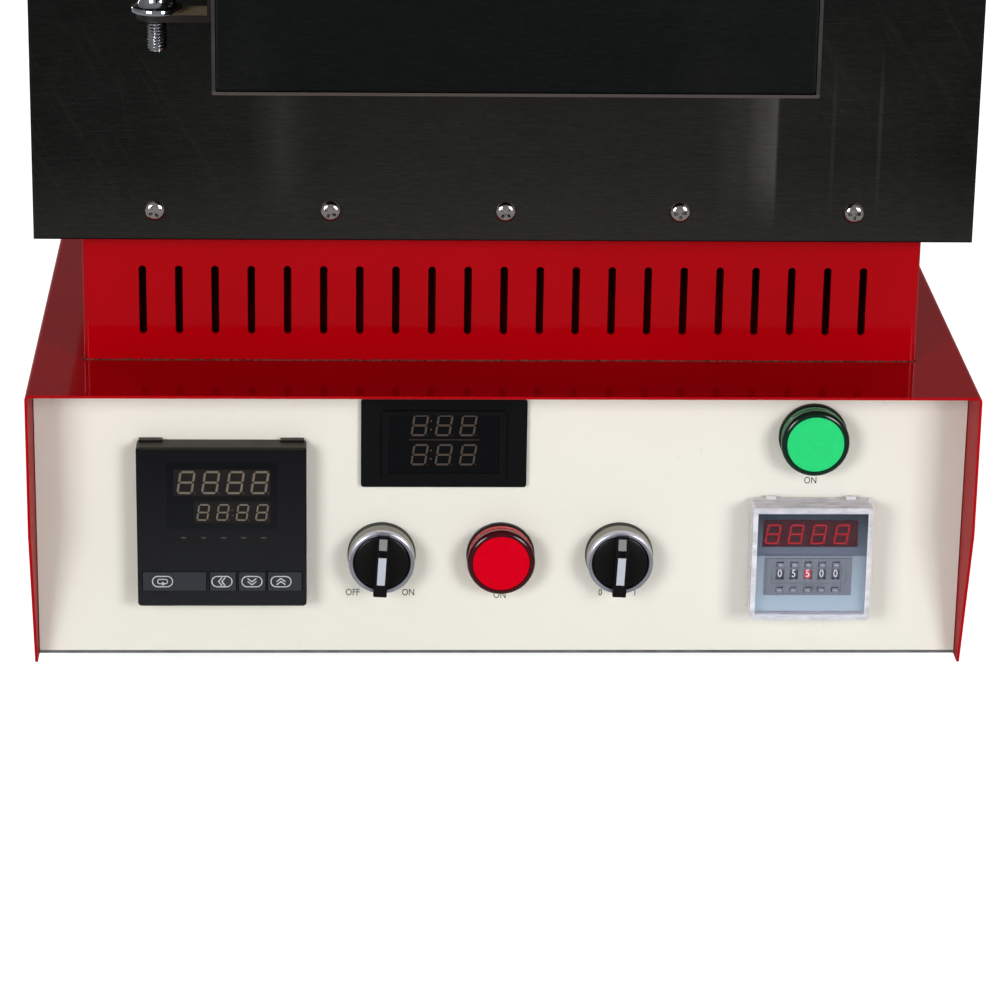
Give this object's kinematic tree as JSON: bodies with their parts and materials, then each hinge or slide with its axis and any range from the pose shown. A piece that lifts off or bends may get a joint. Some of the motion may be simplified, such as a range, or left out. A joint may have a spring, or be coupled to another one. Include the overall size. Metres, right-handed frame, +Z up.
{
  "type": "burnout furnace",
  "caption": "Bench-top burnout furnace: red control base with instruments and selectors, slotted plinth and a front-loading kiln with a side-hung insulated door.",
  "frame": {"origin": "on the floor, under the middle of the furnace's overall box", "axes": "+Z up, +Y from the door to the rear, +X to the right when facing the door"},
  "size_m": [0.4048, 0.5484, 0.6584],
  "materials": {
    "red_paint": "gloss",
    "cream_paint": "satin",
    "zinc_sheet": "satin",
    "dark_stainless": "satin",
    "bright_steel": "polished",
    "steel_bracket": "satin",
    "flue_stainless": "satin",
    "fibre_board": "matte",
    "muffle_ceramic": "matte",
    "hearth_ceramic": "matte",
    "element_alloy": "matte",
    "rubber": "matte",
    "black_plastic": "satin",
    "grey_plastic": "satin",
    "key_plastic": "satin",
    "display_plastic": "gloss",
    "green_lens": "gloss",
    "red_lens": "gloss",
    "silver_bezel": "satin",
    "knob_black": "gloss",
    "clear_plastic": "gloss",
    "wheel_plastic": "satin",
    "button_plastic": "satin"
  },
  "bodies": {
    "furnace": {"base_cover": "red_paint", "base_pan": "zinc_sheet", "control_panel": "cream_paint", "base_rear_panel": "red_paint", "rubber_feet": "rubber", "plinth": "red_paint", "upper_casing": "red_paint", "front_plate": "dark_stainless", "casing_rear_panel": "red_paint", "fibre_insulation": "fibre_board", "muffle": "muffle_ceramic", "heating_elements": "element_alloy", "hearth_plate": "hearth_ceramic", "thermocouple": "hearth_ceramic", "vent_tube": "flue_stainless", "front_plate_screws": "bright_steel", "cabinet_screws": "bright_steel", "hinge_brackets": "steel_bracket", "latch_keeper": "steel_bracket", "controller_case": "black_plastic", "display_windows": "display_plastic", "meter_case": "black_plastic", "timer_case": "grey_plastic", "lamp_bodies": "black_plastic", "power_lamp_lens": "green_lens", "heating_lamp_lens": "red_lens", "switch_bodies": "silver_bezel", "contact_blocks": "black_plastic", "relay_heatsink": "zinc_sheet", "cable_gland": "black_plastic"},
    "door": {"door_shell": "dark_stainless", "door_insulation": "fibre_board", "door_lugs": "steel_bracket", "hinge_pins": "bright_steel", "door_fasteners": "bright_steel"},
    "latch": {"latch_lever": "steel_bracket", "latch_knob": "knob_black"},
    "heating_switch": {"heating_switch_knob": "knob_black"},
    "timing_switch": {"timing_switch_knob": "knob_black"},
    "timer_cover": {"timer_cover": "clear_plastic"},
    "vent_damper": {"vent_damper": "flue_stainless"},
    "key_set": {"key_set": "key_plastic"},
    "key_shift": {"key_shift": "key_plastic"},
    "key_down": {"key_down": "key_plastic"},
    "key_up": {"key_up": "key_plastic"},
    "digit_wheel_1": {"digit_wheel_1": "wheel_plastic"},
    "plus_button_1": {"plus_button_1": "button_plastic"},
    "minus_button_1": {"minus_button_1": "button_plastic"},
    "digit_wheel_2": {"digit_wheel_2": "wheel_plastic"},
    "plus_button_2": {"plus_button_2": "button_plastic"},
    "minus_button_2": {"minus_button_2": "button_plastic"},
    "digit_wheel_3": {"digit_wheel_3": "wheel_plastic"},
    "plus_button_3": {"plus_button_3": "button_plastic"},
    "minus_button_3": {"minus_button_3": "button_plastic"},
    "digit_wheel_4": {"digit_wheel_4": "wheel_plastic"},
    "plus_button_4": {"plus_button_4": "button_plastic"},
    "minus_button_4": {"minus_button_4": "button_plastic"},
    "digit_wheel_5": {"digit_wheel_5": "wheel_plastic"},
    "plus_button_5": {"plus_button_5": "button_plastic"},
    "minus_button_5": {"minus_button_5": "button_plastic"}
  },
  "joints": [
    {"name": "door_hinge", "type": "hinge", "parent": "furnace", "child": "door", "pos_m": [-0.142, -0.18977, 0.3982], "axis": [0, 0, -1], "range_deg": [0, 160]},
    {"name": "latch_pivot", "type": "hinge", "parent": "door", "child": "latch", "pos_m": [0.12305, -0.18977, 0.3982], "axis": [1, 0, 0], "range_deg": [0, 24]},
    {"name": "heating_switch_turn", "type": "hinge", "parent": "furnace", "child": "heating_switch", "pos_m": [-0.0511, -0.14477, 0.0592], "axis": [0, 1, 0], "range_deg": [0, 90]},
    {"name": "timing_switch_turn", "type": "hinge", "parent": "furnace", "child": "timing_switch", "pos_m": [0.0511, -0.14477, 0.0592], "axis": [0, 1, 0], "range_deg": [0, 90]},
    {"name": "timer_cover_hinge", "type": "hinge", "parent": "furnace", "child": "timer_cover", "pos_m": [0.1327, -0.14707, 0.0852], "axis": [-1, 0, 0], "range_deg": [0, 90]},
    {"name": "damper_turn", "type": "hinge", "parent": "furnace", "child": "vent_damper", "pos_m": [0, 0.0267, 0.6134], "axis": [1, 0, 0], "range_deg": [0, 90]},
    {"name": "key_set_press", "type": "slide", "parent": "furnace", "child": "key_set", "axis": [0, 1, 0], "range_m": [0, 0.0006], "stiffness_N_per_m": 300},
    {"name": "key_shift_press", "type": "slide", "parent": "furnace", "child": "key_shift", "axis": [0, 1, 0], "range_m": [0, 0.0006], "stiffness_N_per_m": 300},
    {"name": "key_down_press", "type": "slide", "parent": "furnace", "child": "key_down", "axis": [0, 1, 0], "range_m": [0, 0.0006], "stiffness_N_per_m": 300},
    {"name": "key_up_press", "type": "slide", "parent": "furnace", "child": "key_up", "axis": [0, 1, 0], "range_m": [0, 0.0006], "stiffness_N_per_m": 300},
    {"name": "digit_wheel_1_turn", "type": "hinge", "parent": "furnace", "child": "digit_wheel_1", "pos_m": [0.1198, -0.14867, 0.0542], "axis": [1, 0, 0], "continuous": true},
    {"name": "plus_button_1_press", "type": "slide", "parent": "furnace", "child": "plus_button_1", "axis": [0, 1, 0], "range_m": [0, 0.0008], "stiffness_N_per_m": 100},
    {"name": "minus_button_1_press", "type": "slide", "parent": "furnace", "child": "minus_button_1", "axis": [0, 1, 0], "range_m": [0, 0.0008], "stiffness_N_per_m": 100},
    {"name": "digit_wheel_2_turn", "type": "hinge", "parent": "furnace", "child": "digit_wheel_2", "pos_m": [0.1258, -0.14867, 0.0542], "axis": [1, 0, 0], "continuous": true},
    {"name": "plus_button_2_press", "type": "slide", "parent": "furnace", "child": "plus_button_2", "axis": [0, 1, 0], "range_m": [0, 0.0008], "stiffness_N_per_m": 100},
    {"name": "minus_button_2_press", "type": "slide", "parent": "furnace", "child": "minus_button_2", "axis": [0, 1, 0], "range_m": [0, 0.0008], "stiffness_N_per_m": 100},
    {"name": "digit_wheel_3_turn", "type": "hinge", "parent": "furnace", "child": "digit_wheel_3", "pos_m": [0.1318, -0.14867, 0.0542], "axis": [1, 0, 0], "continuous": true},
    {"name": "plus_button_3_press", "type": "slide", "parent": "furnace", "child": "plus_button_3", "axis": [0, 1, 0], "range_m": [0, 0.0008], "stiffness_N_per_m": 100},
    {"name": "minus_button_3_press", "type": "slide", "parent": "furnace", "child": "minus_button_3", "axis": [0, 1, 0], "range_m": [0, 0.0008], "stiffness_N_per_m": 100},
    {"name": "digit_wheel_4_turn", "type": "hinge", "parent": "furnace", "child": "digit_wheel_4", "pos_m": [0.1378, -0.14867, 0.0542], "axis": [1, 0, 0], "continuous": true},
    {"name": "plus_button_4_press", "type": "slide", "parent": "furnace", "child": "plus_button_4", "axis": [0, 1, 0], "range_m": [0, 0.0008], "stiffness_N_per_m": 100},
    {"name": "minus_button_4_press", "type": "slide", "parent": "furnace", "child": "minus_button_4", "axis": [0, 1, 0], "range_m": [0, 0.0008], "stiffness_N_per_m": 100},
    {"name": "digit_wheel_5_turn", "type": "hinge", "parent": "furnace", "child": "digit_wheel_5", "pos_m": [0.1438, -0.14867, 0.0542], "axis": [1, 0, 0], "continuous": true},
    {"name": "plus_button_5_press", "type": "slide", "parent": "furnace", "child": "plus_button_5", "axis": [0, 1, 0], "range_m": [0, 0.0008], "stiffness_N_per_m": 100},
    {"name": "minus_button_5_press", "type": "slide", "parent": "furnace", "child": "minus_button_5", "axis": [0, 1, 0], "range_m": [0, 0.0008], "stiffness_N_per_m": 100}
  ]
}
